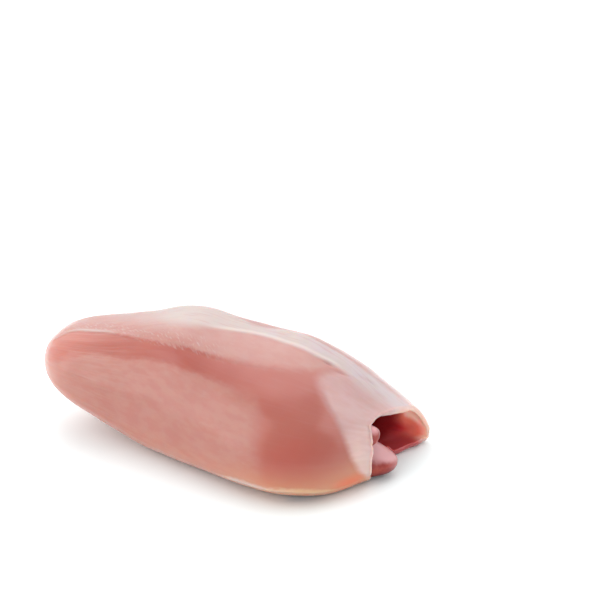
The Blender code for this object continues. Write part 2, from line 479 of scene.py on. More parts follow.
        fat = self.fat_height * step_up(marks[Mark.FAT], -0.3, 0.8)
        fat += self.fat_edge_height * bell(marks[Mark.FAT] - 0.5, 0.7)
        fat *= step_up(marks[Mark.BACK], -1.0, 2.0)
        out += fat * step_up(x, -12.0, 18.0) * (1.0 - step_up(x, 34.0, 8.0))
        out += self.hem_height * bell(marks[Mark.HEM], 2.2) - marks[Mark.SLIT]
        groove = self.groove_depth * bell(marks[Mark.SEAM], 1.5)
        out -= groove * step_up(x, -52.0, 12.0) * (1.0 - step_up(x, 34.0, 10.0))

        off_the_join = ease((1.0 + math.sin(angle)) / 0.1)
        return (out - self.relief_mean) * off_the_join

    def outer_point(self, x: float, angle: float) -> tuple[Vector, dict[Mark, float]]:
        """A point of the outside with its relief.

        Args:
            x: how far along the meat, in millimetres.
            angle: how far round, in radians.

        Returns:
            The point, in millimetres, and its marks.
        """
        point = self.plain_point(x, angle)
        marks = self.marks_at(x, angle)
        section = self.section_at(x)
        outward = point - Vector((x, section.crest_y, section.widest))
        outward.normalize()
        opened = closing(x - self.tail_x, self.tail_rounding, self.tail_square)
        grounded = step_up(point.z, 0.3, 3.0)
        point += outward * self.relief(x, angle, point, marks) * opened * grounded
        point.z = max(point.z, 0.0)
        return self.off_the_table(point), marks

    def off_the_table(self, point: Vector) -> Vector:
        """Lift a point a little where the foot of the flank curls up toward the mouth.

        Args:
            point: the point, in millimetres.

        Returns:
            The point, lifted if it is there.
        """
        near_mouth = step_up(point.x, self.foot_x, self.foot_length)
        near_mouth *= 1.0 - step_up(point.y, self.foot_y, self.foot_width)
        lift = self.foot_lift * near_mouth * (1.0 - step_up(point.z, 0.0, self.foot_height))
        return point + Vector((0.0, 0.0, lift))

    def rim_x(self, angle: float) -> float:
        """How far along X the slanting, torn rim of the mouth reaches.

        Args:
            angle: how far round, in radians.

        Returns:
            The rim's x, in millimetres.
        """
        below = 0.5 - 0.5 * math.sin(angle)
        turn_y = blend(self.rim_turn_top_y, self.rim_turn_under_y, below)
        point = self.plain_point(self.mouth_x, angle)
        slant = (self.rim_far_x - self.rim_near_x) / (self.rim_far_y - turn_y)
        rim = self.rim_near_x + max(point.y - turn_y, 0.0) * slant
        far_side = step_up(point.y, self.rim_back_y, self.rim_back_width)
        rim -= self.rim_top_back * max(point.z - self.rim_back_z, 0.0) * far_side
        degrees = math.degrees(angle)
        rim -= self.rim_notch * bell(degrees - self.rim_notch_angle, self.rim_notch_width)
        rim += self.rim_swell * bell(degrees - self.rim_swell_angle, self.rim_swell_width)
        round_the_rim = Vector((math.cos(angle), math.sin(angle), 0.0))
        torn = self.rim_tear * noise.noise(round_the_rim * 3.0 + Vector((0.0, 0.0, 4.0)))
        torn += self.rim_fine_tear * noise.noise(round_the_rim * 11.0 + Vector((0.0, 0.0, 9.0)))
        return rim + torn

    def hollow_point(self, depth: float, angle: float) -> Vector:
        """A point of the hollow's wall.

        Args:
            depth: how far in, from 0 at the rim to 1 at the tunnel's closed end.
            angle: how far round, in radians.

        Returns:
            The point, in millimetres.
        """
        rim = self.rim_x(angle) - self.lip_bulge
        x = blend(rim, self.tunnel_end_x, depth)
        section = self.section_at(x)
        outside = self.plain_point(x, angle)
        middle = Vector((x, section.crest_y, section.widest))
        near = bell(angle - math.pi, 0.5 * math.pi)
        wall = blend(self.rim_wall, self.rim_near_wall, near)
        inside = outside.lerp(middle, wall / (middle - outside).length)
        inside.z = max(inside.z, wall)
        inside = self.off_the_table(inside)
        opened = closing(x - self.tunnel_end_x, self.tunnel_rounding)
        y = self.tunnel_y + self.tunnel_half_width * math.cos(angle) * opened
        z = self.tunnel_z + self.tunnel_half_height * math.sin(angle) * opened
        return inside.lerp(Vector((x, y, z)), ease((rim - x) / self.narrowing_length))

    def skin_point(self, stretch: Stretch, share: float, angle: float) -> tuple[Vector, dict[Mark, float]]:
        """A point of the whole skin, from the tail over the outside and the rim into the hollow.

        Args:
            stretch: the stretch of the loft that the point is on.
            share: how far along that stretch, from 0 to 1.
            angle: how far round, in radians.

        Returns:
            The point, in millimetres, and its marks.
        """
        flank_start = self.tail_x + self.tail_rounding
        if stretch is Stretch.TAIL:
            from_tip = self.tail_rounding * (1.0 - math.cos(0.5 * math.pi * share))
            return self.outer_point(self.tail_x + from_tip, angle)
        rim = self.rim_x(angle) - self.lip_bulge
        if stretch is Stretch.FLANK:
            return self.outer_point(blend(flank_start, rim, share), angle)
        outside, marks = self.outer_point(rim, angle)
        if stretch is Stretch.LIP:
            turn = math.pi * share
            inside = self.hollow_point(0.0, angle)
            point = outside.lerp(inside, 0.5 - 0.5 * math.cos(turn))
            point.x += self.lip_bulge * math.sin(turn)
            marks[Mark.DEPTH] = blend(-1.0, 0.0, share)
            return point, marks
        depth = share**1.3
        marks[Mark.DEPTH] = depth * (rim - self.tunnel_end_x)
        return self.hollow_point(depth, angle), marks

    def build(self) -> bpy.types.Object:
        """Wrap a grid round the meat as one skin, closed at both ends.

        Returns:
            The skin.
        """
        rings = [(stretch, k / stretch.value) for stretch in Stretch for k in range(stretch.value)]
        rings.append((Stretch.TUNNEL, 1.0))
        bm = bmesh.new()
        uv = bm.loops.layers.uv.new("fold")
        layers = {mark: bm.verts.layers.float.new(mark.value) for mark in Mark}
        bmesh.ops.create_grid(bm, x_segments=len(rings) - 1, y_segments=self.points_round, size=1.0)
        places = {}
        for vert in bm.verts:
            ring = round((vert.co.x + 1.0) / 2.0 * (len(rings) - 1))
            turn = (vert.co.y + 1.0) * math.pi - 0.5 * math.pi
            angle = turn - self.crowding * (
                math.sin(turn - self.crowded_angle) + math.sin(self.crowded_angle + 0.5 * math.pi)
            )
            point, marks = self.skin_point(*rings[ring], angle)
            for mark, value in marks.items():
                vert[layers[mark]] = value
            places[vert] = (point.x, angle)
            vert.co = placed(point)
        for face in bm.faces:
            for loop in face.loops:
                x, angle = places[loop.vert]
                loop[uv].uv = ((x - self.tail_x) / self.uv_length, (angle / math.pi + 0.5) / 2.0)
        bmesh.ops.remove_doubles(bm, verts=bm.verts, dist=ONE_POINT)
        bmesh.ops.recalc_face_normals(bm, faces=bm.faces)
        return finished("folded_meat", bm)


@dataclass
class InnerLobe:
    """One lobe of the inner muscle, which shows in the mouth."""

    name: str
    root: tuple[float, float, float]
    tip: tuple[float, float, float]
    across: float
    height: float
    bluntness: float
    wedge: float = 0.0
    flat_top: float = 0.0
    belly: float = 1.0
    wedge_start: float = 0.4
    lumpiness: float = 0.1
    sides: int = 72
    rings: int = 60

    def build(self) -> bpy.types.Object:
        """Draw a ball out from the lobe's root to its tip, blunt and a little lumpy.

        Returns:
            The lobe.
        """
        root, tip = Vector(self.root), Vector(self.tip)
        bm = bmesh.new()
        crown = bm.verts.layers.float.new("crown")
        bmesh.ops.create_uvsphere(bm, u_segments=self.sides, v_segments=self.rings, radius=1.0)
        for vert in bm.verts:
            toward = Vector((vert.co.x, vert.co.y)).normalized()
            swell = 0.5 * (1.0 - min(abs(vert.co.z), 1.0) ** self.bluntness) ** (1.0 / self.bluntness)
            point = root.lerp(tip, 0.5 + 0.5 * vert.co.z)
            lump = 1.0 + self.lumpiness * noise.noise(vert.co * 1.7 + root)
            # crown: how far up round the lobe; its finish paints light on top and shade below by it
            vert[crown] = toward.y * swell * 2.0
            if toward.y > 0.0:
                if toward.x < 0.0:
                    lump *= blend(1.0, 1.0 / (toward.y - toward.x), self.flat_top)
                toward.y *= 1.0 - self.wedge * step_up(vert.co.z, self.wedge_start, 1.0 - self.wedge_start)
            else:
                toward.y *= self.belly
            point.y += toward.x * self.across * swell * lump
            point.z = max(point.z + toward.y * self.height * swell * lump, 0.0)
            vert.co = placed(point)
        bmesh.ops.recalc_face_normals(bm, faces=bm.faces)
        return finished(self.name, bm)


def finished(name: str, bm: bmesh.types.BMesh) -> bpy.types.Object:
    """Turn a bmesh into a smooth-shaded object of the scene, and free it.

    Args:
        name: the object's name.
        bm: the bmesh.

    Returns:
        The object.
    """
    mesh = bpy.data.meshes.new(name)
    bm.to_mesh(mesh)
    bm.free()
    mesh.shade_smooth()
    obj = bpy.data.objects.new(name, mesh)
    bpy.context.scene.collection.objects.link(obj)
    return obj


class Recipe:
    """A node tree that is written one node at a time."""

    def __init__(self, tree: bpy.types.NodeTree) -> None:
        """Start on an empty tree.

        Args:
            tree: the material's or the node group's own tree.
        """
        self.tree = tree
        tree.nodes.clear()

    def add(self, kind: str, **settings: object) -> bpy.types.Node:
        """Add a node.

        Args:
            kind: the node's type.
            settings: the properties to set on it.

        Returns:
            The node.
        """
        node = self.tree.nodes.new(kind)
        for name, value in settings.items():
            setattr(node, name, value)
        return node

    def feed(self, socket: bpy.types.NodeSocket, value: object) -> None:
        """Link a socket to another, or set its value.

        Args:
            socket: the input socket.
            value: an output socket, or a plain value.
        """
        if isinstance(value, bpy.types.NodeSocket):
            self.tree.links.new(value, socket)
        elif isinstance(value, tuple) and len(value) == 3 and socket.type == "RGBA":
            socket.default_value = (*value, 1.0)
        else:
            socket.default_value = value

    def mark(self, mark: Mark) -> bpy.types.NodeSocket:
        """The value that the surface carries for this mark."""
        return self.add("ShaderNodeAttribute", attribute_name=mark.value).outputs["Fac"]

    def math(self, operation: str, *values: object) -> bpy.types.NodeSocket:
        """Do one step of arithmetic.

        Args:
            operation: the Math node's operation.
            values: its inputs, each a socket or a number.

        Returns:
            The result.
        """
        node = self.add("ShaderNodeMath", operation=operation)
        for socket, value in zip(node.inputs, values):
            self.feed(socket, value)
        return node.outputs[0]

    def plus(self, a: object, b: object) -> bpy.types.NodeSocket:
        """The sum of two values."""
        return self.math("ADD", a, b)

    def minus(self, a: object, b: object) -> bpy.types.NodeSocket:
        """The difference of two values."""
        return self.math("SUBTRACT", a, b)

    def times(self, *values: object) -> bpy.types.NodeSocket:
        """Multiply two or more values.

        Args:
            values: the values, each a socket or a number.

        Returns:
            The product.
        """
        product = self.math("MULTIPLY", *values[:2])
        for value in values[2:]:
            product = self.math("MULTIPLY", product, value)
        return product

    def step(
        self, value: object, start: object, end: object, low: object = 0.0, high: object = 1.0
    ) -> bpy.types.NodeSocket:
        """Make a soft step.

        Args:
            value: the value that the step depends on.
            start: where the step starts.
            end: where it ends, which may be below the start.
            low: what it gives before the start.
            high: what it gives past the end.

        Returns:
            The step.
        """
        node = self.add("ShaderNodeMapRange", interpolation_type="SMOOTHSTEP")
        given = {"Value": value, "From Min": start, "From Max": end, "To Min": low, "To Max": high}
        for name, setting in given.items():
            self.feed(node.inputs[name], setting)
        return node.outputs[0]

    def edge(self, inside: object, half_width: object, high: float = 1.0) -> bpy.types.NodeSocket:
        """A soft edge: 0 outside and high inside, half_width to either side of where inside is 0."""
        return self.step(inside, self.times(half_width, -1.0), half_width, 0.0, high)

    def hump(self, value: object, middle: float, width: float, high: float = 1.0) -> bpy.types.NodeSocket:
        """A soft hump, high where value is middle and 0 from width on either side."""
        return self.step(self.math("ABSOLUTE", self.minus(value, middle)), 0.0, width, high, 0.0)

    def mix(self, factor: object, a: object, b: object) -> bpy.types.NodeSocket:
        """Mix two colours.

        Args:
            factor: how much of the second there is, from 0 to 1.
            a: the first colour.
            b: the second colour.

        Returns:
            The mixture.
        """
        node = self.add("ShaderNodeMix", data_type="RGBA")
        self.feed(node.inputs["Factor"], factor)
        colours = [socket for socket in node.inputs if socket.type == "RGBA"]
        self.feed(colours[0], a)
        self.feed(colours[1], b)
        return next(socket for socket in node.outputs if socket.type == "RGBA")

    def part(self, vector: object, axis: int) -> bpy.types.NodeSocket:
        """Take one part of a vector.

        Args:
            vector: the vector.
            axis: 0 for X, 1 for Y or 2 for Z.

        Returns:
            The part.
        """
        node = self.add("ShaderNodeSeparateXYZ")
        self.feed(node.inputs[0], vector)
        return node.outputs[axis]

    def stretched(self, vector: object, factors: Colour) -> bpy.types.NodeSocket:
        """Multiply coordinates by a factor along each axis.

        Args:
            vector: the coordinates.
            factors: the three factors.

        Returns:
            The new coordinates.
        """
        mapping = self.add("ShaderNodeMapping")
        self.feed(mapping.inputs["Vector"], vector)
        self.feed(mapping.inputs["Scale"], factors)
        return mapping.outputs[0]

    def slanted(self, vector: object, turn: float, factors: Colour) -> bpy.types.NodeSocket:
        """Turn coordinates about Z, then multiply them by a factor along each axis.

        Args:
            vector: the coordinates.
            turn: the turn, in degrees.
            factors: the three factors.

        Returns:
            The new coordinates.
        """
        mapping = self.add("ShaderNodeMapping", vector_type="TEXTURE")
        self.feed(mapping.inputs["Vector"], vector)
        self.feed(mapping.inputs["Rotation"], (0.0, 0.0, math.radians(turn)))
        self.feed(mapping.inputs["Scale"], tuple(1.0 / factor for factor in factors))
        return mapping.outputs[0]

    def noise(self, vector: object, scale: object = 1.0, detail: float = 2.0) -> bpy.types.NodeSocket:
        """Make a cloudy pattern.

        Args:
            vector: the coordinates that it follows.
            scale: how fine it is.
            detail: how many finer layers it has.

        Returns:
            The pattern, from 0 to 1.
        """
        node = self.add("ShaderNodeTexNoise")
        self.feed(node.inputs["Vector"], vector)
        self.feed(node.inputs["Scale"], scale)
        self.feed(node.inputs["Detail"], detail)
        return node.outputs["Fac"]


class RawMuscle:
    """The mottled, fibrous look of raw muscle, as one node group that every finish of the meat uses."""

    INPUTS = {
        "Place": "NodeSocketVector",
        "Grain": "NodeSocketVector",
        "Blotch Scale": "NodeSocketFloat",
        "Dark": "NodeSocketColor",
        "Light": "NodeSocketColor",
        "Fibre": "NodeSocketColor",
        "Fibre Strength": "NodeSocketFloat",
        "Gloss Low": "NodeSocketFloat",
        "Gloss High": "NodeSocketFloat",
    }
    OUTPUTS = {
        "Colour": "NodeSocketColor",
        "Blotches": "NodeSocketFloat",
        "Height": "NodeSocketFloat",
        "Roughness": "NodeSocketFloat",
    }

    def __init__(self) -> None:
        """Build the group: blotches of two tones, fibres along the grain, and a gloss that varies."""
        self.tree = bpy.data.node_groups.new("raw_muscle", "ShaderNodeTree")
        r = Recipe(self.tree)
        for side, sockets in (("INPUT", self.INPUTS), ("OUTPUT", self.OUTPUTS)):
            for name, kind in sockets.items():
                self.tree.interface.new_socket(name, in_out=side, socket_type=kind)
        given = r.add("NodeGroupInput").outputs
        blotches = r.noise(given["Place"], given["Blotch Scale"], 3.0)
        fibres = r.noise(given["Grain"], 1.0, 3.0)
        strands = r.noise(r.stretched(given["Grain"], (2.4, 4.2, 1.0)), 1.0, 2.0)
        colour = r.mix(r.step(blotches, 0.32, 0.68), given["Dark"], given["Light"])
        showing = r.times(r.step(fibres, 0.45, 0.8), given["Fibre Strength"])
        made = {
            "Colour": r.mix(showing, colour, given["Fibre"]),
            "Blotches": blotches,
            "Height": r.plus(r.times(fibres, 0.7), r.times(strands, 0.3)),
            "Roughness": r.step(blotches, 0.3, 0.7, given["Gloss Low"], given["Gloss High"]),
        }
        out = r.add("NodeGroupOutput")
        for name, socket in made.items():
            r.feed(out.inputs[name], socket)

    def place(self, r: Recipe, **values: object) -> bpy.types.NodeOutputs:
        """Put the group in a material.

        Args:
            r: the material's recipe.
            values: what each input is given, named as the input is, in small letters and with _ for spaces.

        Returns:
            The group's outputs.
        """
        node = r.add("ShaderNodeGroup", node_tree=self.tree)
        for name, value in values.items():
            r.feed(node.inputs[name.replace("_", " ").title()], value)
        return node.outputs


@dataclass(frozen=True)
class Places:
    """What a finish's patterns follow: the surface's coordinates, the object's, and two shared clouds."""

    fold: bpy.types.NodeSocket
    objects: bpy.types.NodeSocket
    x: bpy.types.NodeSocket
    y: bpy.types.NodeSocket
    z: bpy.types.NodeSocket
    wander: bpy.types.NodeSocket  # ragged, in millimetres, for the edges of the zones
    mottle: bpy.types.NodeSocket  # streaky, from 0 to 1, for the membranes

    @classmethod
    def of(cls, r: Recipe) -> Places:
        """Find the places in a material.

        Args:
            r: the material's recipe.

        Returns:
            The places.
        """
        objects = r.add("ShaderNodeTexCoord").outputs["Object"]
        fold = r.add("ShaderNodeUVMap", uv_map="fold").outputs[0]
        x, y, z = (r.part(objects, axis) for axis in range(3))
        ragged = r.noise(r.stretched(fold, (60.0, 120.0, 1.0)), 1.0, 3.0)
        streaky = r.noise(r.stretched(fold, (26.0, 64.0, 1.0)), 1.0, 4.0)
        return cls(
            fold, objects, x, y, z, r.times(r.minus(ragged, 0.5), 3.0), r.step(streaky, 0.36, 0.64)
        )


@dataclass(frozen=True)
class MeatFinish:
    """Raw muscle under thin wet membrane, with fat at its edges, and light and shade painted into its
    colour in places.
    """

    name: str = "raw_meat"
    deep: Colour = (0.37, 0.09, 0.068)
    pink: Colour = (0.39, 0.112, 0.083)
    tail: Colour = (0.56, 0.225, 0.18)
    # pale: the top plane's membrane and the fibres; on the top plane partly membrane, partly painted
    # reflection of the light over the top
    pale: Colour = (0.44, 0.225, 0.195)
    # sheet: the membrane colour of the flank and the far side; on the near flank partly a painted
    # reflection of the front-left softbox
    sheet: Colour = (0.45, 0.24, 0.195)
    # cuff and cuff_low: partly membrane, partly painted reflection and painted light from the right softbox
    cuff: Colour = (0.485, 0.305, 0.295)
    cuff_low: Colour = (0.70, 0.49, 0.46)
    fat: Colour = (0.475, 0.39, 0.365)
    # lilac: partly the fat's own cooler tone, partly painted light, paler to stand in for the right
    # softbox's light
    lilac: Colour = (0.50, 0.415, 0.435)
    margin: Colour = (0.43, 0.23, 0.22)
    bright_fat: Colour = (0.56, 0.46, 0.425)
    cream: Colour = (0.52, 0.43, 0.39)
    butter: Colour = (0.60, 0.42, 0.25)
    foot: Colour = (0.55, 0.235, 0.13)
    # painted contact shade: near black red under the hem where the flank meets the table
    contact_shade: Colour = (0.12, 0.035, 0.035)
    blush: Colour = (0.42, 0.075, 0.05)
    # painted glow: amber, for light shining through the thin meat low by the mouth
    amber_glow: Colour = (0.66, 0.15, 0.065)
    # the slits' dark red: the muscle's red with painted shade in the gap
    slit_red_and_shade: Colour = (0.33, 0.07, 0.07)
    rim: Colour = (0.68, 0.42, 0.33)
    # painted light: pale peach on the hollow's wall near its top and rim, paler than the wall's own colour
    lit_peach: Colour = (0.95, 0.68, 0.57)
    orange: Colour = (0.80, 0.205, 0.145)
    crimson: Colour = (0.52, 0.02, 0.028)
    near_wall: Colour = (0.42, 0.11, 0.09)
    purple: Colour = (0.39, 0.045, 0.05)
    # painted shade: near black deep in the hollow
    pit_shade: Colour = (0.20, 0.001, 0.003)
    roughness: float = 0.42
    coat_roughness: float = 0.2
    scatter_mm: float = 3.0

    def mottled(self, r: Recipe, at: Places, mask: object, depth: float) -> bpy.types.NodeSocket:
        """A membrane's mask, made uneven by this share of itself."""
        return r.times(mask, r.plus(r.times(at.mottle, depth), 1.0 - 0.5 * depth))

    def top_membrane(self, r: Recipe, at: Places, muscle: object) -> bpy.types.NodeSocket:
        """Lay the membrane over the top, with a feathered, beaded edge above the near flank; its paleness
        is partly membrane and partly a painted reflection of the light over the top, and a painted
        highlight runs along the ridge line at the tail.

        Args:
            r: the material's recipe.
            at: the places that the patterns follow.
            muscle: the muscle's colour.

        Returns:
            The colour.
        """
        colour = r.mix(r.step(at.x, -0.032, -0.054, 0.0, 0.58), muscle, self.tail)
        strands = r.noise(r.slanted(at.fold, 32.0, (70.0, 250.0, 1.0)), 1.0, 1.5)
        feather = r.times(r.minus(strands, 0.5), r.hump(at.x, -0.012, 0.024, 6.0))
        band = r.plus(r.plus(r.mark(Mark.BAND), r.times(at.wander, 0.5)), feather)
        spread = r.step(at.x, -0.004, 0.012, 1.0, 1.9)
        above_seam = r.step(r.plus(r.mark(Mark.SEAM), at.wander), -1.6, 1.0)
        # the pale upper membrane: partly membrane, partly painted reflection of the light over the top
        upper = r.times(r.edge(r.times(r.plus(band, 0.2), -1.0), spread, 0.74), above_seam)
        upper = r.times(self.mottled(r, at, upper, 0.22), r.step(at.x, -0.0595, -0.048, 0.35, 1.0))
        colour = r.mix(upper, colour, self.pale)

        far_sheet = r.times(r.step(r.mark(Mark.SEAM), -4.0, -9.0, 0.0, 0.46), r.step(at.x, 0.034, 0.014))
        colour = r.mix(r.times(far_sheet, r.step(at.y, 0.002, 0.010)), colour, self.sheet)
        veil = r.times(r.step(band, -2.0, -10.0, 0.0, 0.45), r.step(band, -30.0, -18.0))
        colour = r.mix(r.times(veil, r.step(at.x, 0.0, -0.018)), colour, self.fat)
        beads = r.times(r.step(strands, 0.5, 0.7, 0.0, 0.42), r.step(at.x, 0.006, -0.006))
        colour = r.mix(r.times(beads, r.hump(band, -2.2, 3.6)), colour, self.fat)
        # painted highlight: a pale line in the fat colour along the ridge line at the tail
        ridge_highlight = r.times(r.hump(r.mark(Mark.BAND), -0.6, 1.0, 0.75), r.hump(at.x, -0.044, 0.016))
        return r.mix(ridge_highlight, colour, self.fat)

    def flank_membrane(self, r: Recipe, at: Places, colour: object) -> bpy.types.NodeSocket:
        """Lay the membrane down the near flank, its paleness partly membrane and partly a painted
        reflection of the front-left softbox, redden the bare muscle between it and the mouth, and paint a
        glow low by the mouth.

        Args:
            r: the material's recipe.
            at: the places that the patterns follow.
            colour: the colour underneath.

        Returns:
            The colour.
        """
        # the flank's sheet: partly membrane, partly painted reflection of the front-left softbox
        sheet = r.plus(r.mark(Mark.SHEET), r.times(at.wander, 0.7))
        sheet = r.edge(sheet, r.step(at.x, 0.002, 0.014, 1.2, 3.6), 0.46)
        colour = r.mix(self.mottled(r, at, sheet, 0.36), colour, self.sheet)

        blush = r.times(r.hump(at.x, 0.031, 0.016), r.step(at.z, 0.024, 0.016))
        colour = r.mix(r.times(blush, r.step(at.y, 0.0, -0.012, 0.0, 0.55)), colour, self.blush)
        foot = r.times(r.step(at.z, 0.0148, 0.003), r.step(at.x, 0.0, 0.026, 0.2, 0.95))
        colour = r.mix(r.times(foot, r.step(at.y, 0.008, -0.006, 0.4, 1.0)), colour, self.foot)
        # painted glow: an amber patch low by the mouth, standing in for light shining through the thin meat
        glow = r.times(r.hump(at.x, 0.0437, 0.0060), r.hump(at.z, 0.0040, 0.0036))
        return r.mix(r.times(glow, r.step(at.y, 0.0, -0.008)), colour, self.amber_glow)

    def mouth_membrane(self, r: Recipe, at: Places, colour: object) -> bpy.types.NodeSocket:
        """Lay the cuff round the mouth, paler low down: partly membrane, partly a painted reflection of the
        right softbox, and made paler to stand in for that box's light, which reaches only the gloss.

        Args:
            r: the material's recipe.
            at: the places that the patterns follow.
            colour: the colour underneath.

        Returns:
            The colour.
        """
        inside = r.plus(r.mark(Mark.CUFF), r.times(at.wander, 0.15))
        softness = r.plus(r.step(at.z, 0.018, 0.030, 1.1, 2.8), r.step(at.y, 0.0, 0.010, 0.0, 2.5))
        # the cuff: partly membrane, partly painted reflection of the right softbox and painted light in
        # place of its diffuse light
        cuff = self.mottled(r, at, r.edge(inside, softness, 0.85), 0.14)
        return r.mix(cuff, colour, r.mix(r.step(at.z, 0.021, 0.012), self.cuff, self.cuff_low))

    def fat_strip(self, r: Recipe, at: Places, colour: object) -> bpy.types.NodeSocket:
        """Lay the streaky fat along the crest, with a pink margin behind it and a bright near edge.

        Args:
            r: the material's recipe.
            at: the places that the patterns follow.
            colour: the colour underneath.

        Returns:
            The colour.
        """
        near, back = r.mark(Mark.FAT), r.mark(Mark.BACK)
        margin = r.times(r.edge(r.times(back, -1.0), 1.6, 0.55), r.step(back, -13.0, -6.0))
        colour = r.mix(margin, colour, self.margin)
        # the lilac tint toward the mouth: partly the fat's cooler tone, partly painted light in place of
        # the right softbox's diffuse light
        cool = r.times(r.step(r.noise(at.objects, 90.0, 3.0), 0.36, 0.6), r.step(at.x, 0.004, 0.030))
        tint = r.mix(cool, self.fat, self.lilac)
        streaks = r.noise(r.stretched(at.fold, (14.0, 210.0, 1.0)), 1.0, 2.0)
        tint = r.mix(r.step(streaks, 0.5, 0.72, 0.0, 0.35), tint, self.margin)
        softness = r.plus(r.step(at.x, 0.010, -0.032, 0.7, 3.6), r.step(at.x, 0.036, 0.044, 0.0, 2.2))
        strip = r.times(r.edge(near, softness), r.edge(back, 1.5), r.step(at.x, -0.034, -0.014))
        colour = r.mix(r.times(strip, 0.88), colour, tint)
        lining = r.times(r.hump(near, 0.7, 1.0, 0.7), r.step(at.x, -0.008, 0.002))
        return r.mix(r.times(lining, r.step(at.x, 0.040, 0.032)), colour, self.bright_fat)

    def hem_and_seams(self, r: Recipe, at: Places, colour: object) -> bpy.types.NodeSocket:
        """Colour the hem at the flank's foot, a painted contact shade under it near the table, the slits
        with their red and painted shade, and the far seam.

        Args:
            r: the material's recipe.
            at: the places that the patterns follow.
            colour: the colour underneath.

        Returns:
            The colour.
        """
        gold = r.mix(r.step(at.x, 0.018, 0.032), self.cream, self.butter)
        colour = r.mix(r.step(r.plus(r.mark(Mark.HEM), at.wander), 3.2, 0.6, 0.0, 0.72), colour, gold)
        # painted shade: a dark line low under the hem where the flank meets the table
        contact_shade_mask = r.times(r.step(at.z, 0.0030, 0.0010), r.hump(at.x, 0.0308, 0.0090, 0.85))
        colour = r.mix(r.times(contact_shade_mask, r.step(at.y, 0.0, -0.010)), colour, self.contact_shade)
        # the slits: the red of the muscle inside, darkened with painted shade in the gap
        colour = r.mix(r.times(r.mark(Mark.SLIT), 0.8), colour, self.slit_red_and_shade)
        seam = r.plus(r.mark(Mark.SEAM), r.times(at.wander, 0.3))
        ends = r.times(r.step(at.x, -0.056, -0.040), r.step(at.x, 0.046, 0.034))
        return r.mix(r.times(r.hump(seam, 0.0, 1.2, 0.4), ends), colour, self.fat)

    def hollow(self, r: Recipe, at: Places, outside: object) -> bpy.types.NodeSocket:
        """Carry the outside's colour on over the rim and down into the hollow: the wall's red partly its
        own colour, with painted light making it pale peach near its top and rim, and painted shade
        deepening it to near black deep in.

        Args:
            r: the material's recipe.
            at: the places that the patterns follow.
            outside: the outside's colour.

        Returns:
            The colour.
        """
        depth, under = r.mark(Mark.DEPTH), r.mark(Mark.UNDER)
        uneven = r.times(r.minus(r.noise(at.objects, 260.0, 3.0), 0.5), 2.0)
        deep = r.plus(depth, uneven)
        # painted light: higher on the wall and nearer the rim counts as more lit, and takes the pale peach
        lit = r.minus(deep, r.step(at.z, 0.004, 0.0095, 0.0, 5.0))
        wall = r.mix(r.step(lit, -0.5, 3.0), self.lit_peach, self.orange)
        wall = r.mix(r.step(lit, 2.2, 8.0), wall, self.crimson)
        wall = r.mix(r.step(depth, 0.4, -0.3), wall, self.rim)
        wall = r.mix(r.step(at.y, -0.002, 0.004), self.near_wall, wall)
        inside = r.mix(under, wall, self.purple)
        # painted shade: near black deep in the hollow
        inside = r.mix(r.step(deep, 6.0, 11.0), inside, self.pit_shade)
        start = r.step(under, 0.0, 0.8, r.step(at.y, -0.006, 0.006, 0.4, -1.0), -1.05)
        end = r.plus(start, r.step(under, 0.0, 1.0, 0.8, 0.3))
        return r.mix(r.step(depth, start, end), outside, inside)

    def material(self, muscle: RawMuscle) -> bpy.types.Material:
        """The finish as a material.

        Args:
            muscle: the node group of raw muscle.

        Returns:
            The material.
        """
        material = bpy.data.materials.new(self.name)
        material.use_nodes = True
        r = Recipe(material.node_tree)
        at = Places.of(r)
        look = muscle.place(
            r,
            place=r.stretched(at.objects, (0.6, 1.0, 1.0)),
            grain=r.stretched(at.fold, (9.0, 170.0, 1.0)),
            blotch_scale=42.0,
            dark=self.deep,
            light=self.pink,
            fibre=self.pale,
            fibre_strength=r.step(at.x, -0.010, -0.050, 0.08, 0.46),
            gloss_low=self.roughness - 0.06,
            gloss_high=self.roughness + 0.06,
        )
        outside = look["Colour"]
        for layer in (
            self.top_membrane,
            self.flank_membrane,
            self.mouth_membrane,
            self.fat_strip,
            self.hem_and_seams,
        ):
            outside = layer(r, at, outside)

        bump = r.add("ShaderNodeBump")
        r.feed(bump.inputs["Height"], r.times(look["Height"], r.step(at.x, 0.0, -0.045, 0.2, 1.0)))
        r.feed(bump.inputs["Strength"], 0.3)
        r.feed(bump.inputs["Distance"], 0.0004)

        shader = r.add("ShaderNodeBsdfPrincipled")
        r.feed(shader.inputs["Base Color"], self.hollow(r, at, outside))
        r.feed(shader.inputs["Roughness"], look["Roughness"])
        r.feed(shader.inputs["Specular IOR Level"], 0.05)
        r.feed(shader.inputs["Subsurface Weight"], 0.8)
        r.feed(shader.inputs["Subsurface Radius"], (1.0, 0.3, 0.15))
        r.feed(shader.inputs["Subsurface Scale"], self.scatter_mm * MM)
        r.feed(shader.inputs["Coat Weight"], r.step(r.mark(Mark.DEPTH), -0.5, 2.0, 0.85, 0.0))
        r.feed(shader.inputs["Coat Roughness"], self.coat_roughness)
        r.feed(shader.inputs["Normal"], bump.outputs[0])
        r.feed(r.add("ShaderNodeOutputMaterial").inputs["Surface"], shader.outputs[0])
        return material


